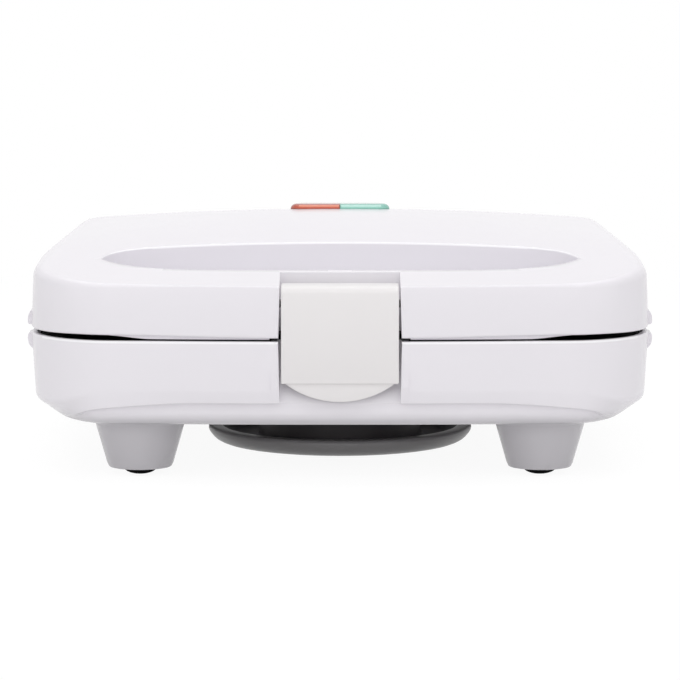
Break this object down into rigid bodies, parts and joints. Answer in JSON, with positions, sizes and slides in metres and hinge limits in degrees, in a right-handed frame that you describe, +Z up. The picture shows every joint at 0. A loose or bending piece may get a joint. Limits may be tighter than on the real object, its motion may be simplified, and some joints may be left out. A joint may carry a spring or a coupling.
{
  "type": "sandwich toaster",
  "caption": "Countertop sandwich toaster with a domed hinged lid, front clip latch, triangular cooking pockets, lamp window and a cord storage bowl under the base.",
  "frame": {"origin": "on the table, under the middle of the whole object's box", "axes": "+X to the right as seen from the front, +Y to the rear hinge, +Z up"},
  "size_m": [0.2368, 0.234, 0.0933],
  "materials": {
    "white_housing": "gloss moulded white",
    "latch_plastic": "satin moulded warm white",
    "dark_frame": "matte moulded black",
    "coated_plate": "non-stick coated casting",
    "heater_steel": "oxidised tube",
    "sheet_steel": "bright pressed sheet",
    "sensor_case": "plain metal",
    "terminal_plastic": "natural moulded",
    "grey_bowl": "satin moulded grey",
    "pad_rubber": "matte",
    "screw_steel": "plated",
    "gland_rubber": "matte",
    "red_lens": "clear tinted red",
    "green_lens": "clear tinted green",
    "lamp_glass": "clear"
  },
  "bodies": {
    "root": {"base_shell": "white_housing", "base_liner": "dark_frame", "lower_plate": "coated_plate", "lower_element": "heater_steel", "lower_reflector": "sheet_steel", "lower_strap": "sheet_steel", "thermostat": "sensor_case", "thermal_fuse": "sensor_case", "terminal_block": "terminal_plastic", "cord_bowl": "grey_bowl", "foot_pads": "pad_rubber", "base_screws": "screw_steel", "cord_gland": "gland_rubber", "hinge_pins": "screw_steel", "catch": "white_housing"},
    "lid": {"lid_shell": "white_housing", "lid_liner": "dark_frame", "upper_plate": "coated_plate", "upper_element": "heater_steel", "upper_reflector": "sheet_steel", "upper_strap": "sheet_steel", "red_lens": "red_lens", "green_lens": "green_lens", "lamp_holder": "dark_frame", "lamps": "lamp_glass", "lid_screws": "screw_steel", "latch_pin": "screw_steel"},
    "latch": {"latch": "latch_plastic"}
  },
  "joints": [
    {"name": "lid_hinge", "type": "hinge", "parent": "root", "child": "lid", "pos_m": [0, 0.1105, 0.0555], "axis": [-1, 0, 0], "range_deg": [0, 100]},
    {"name": "latch_pivot", "type": "hinge", "parent": "lid", "child": "latch", "pos_m": [0, -0.107, 0.0679], "axis": [-1, 0, 0], "range_deg": [0, 50]}
  ]
}
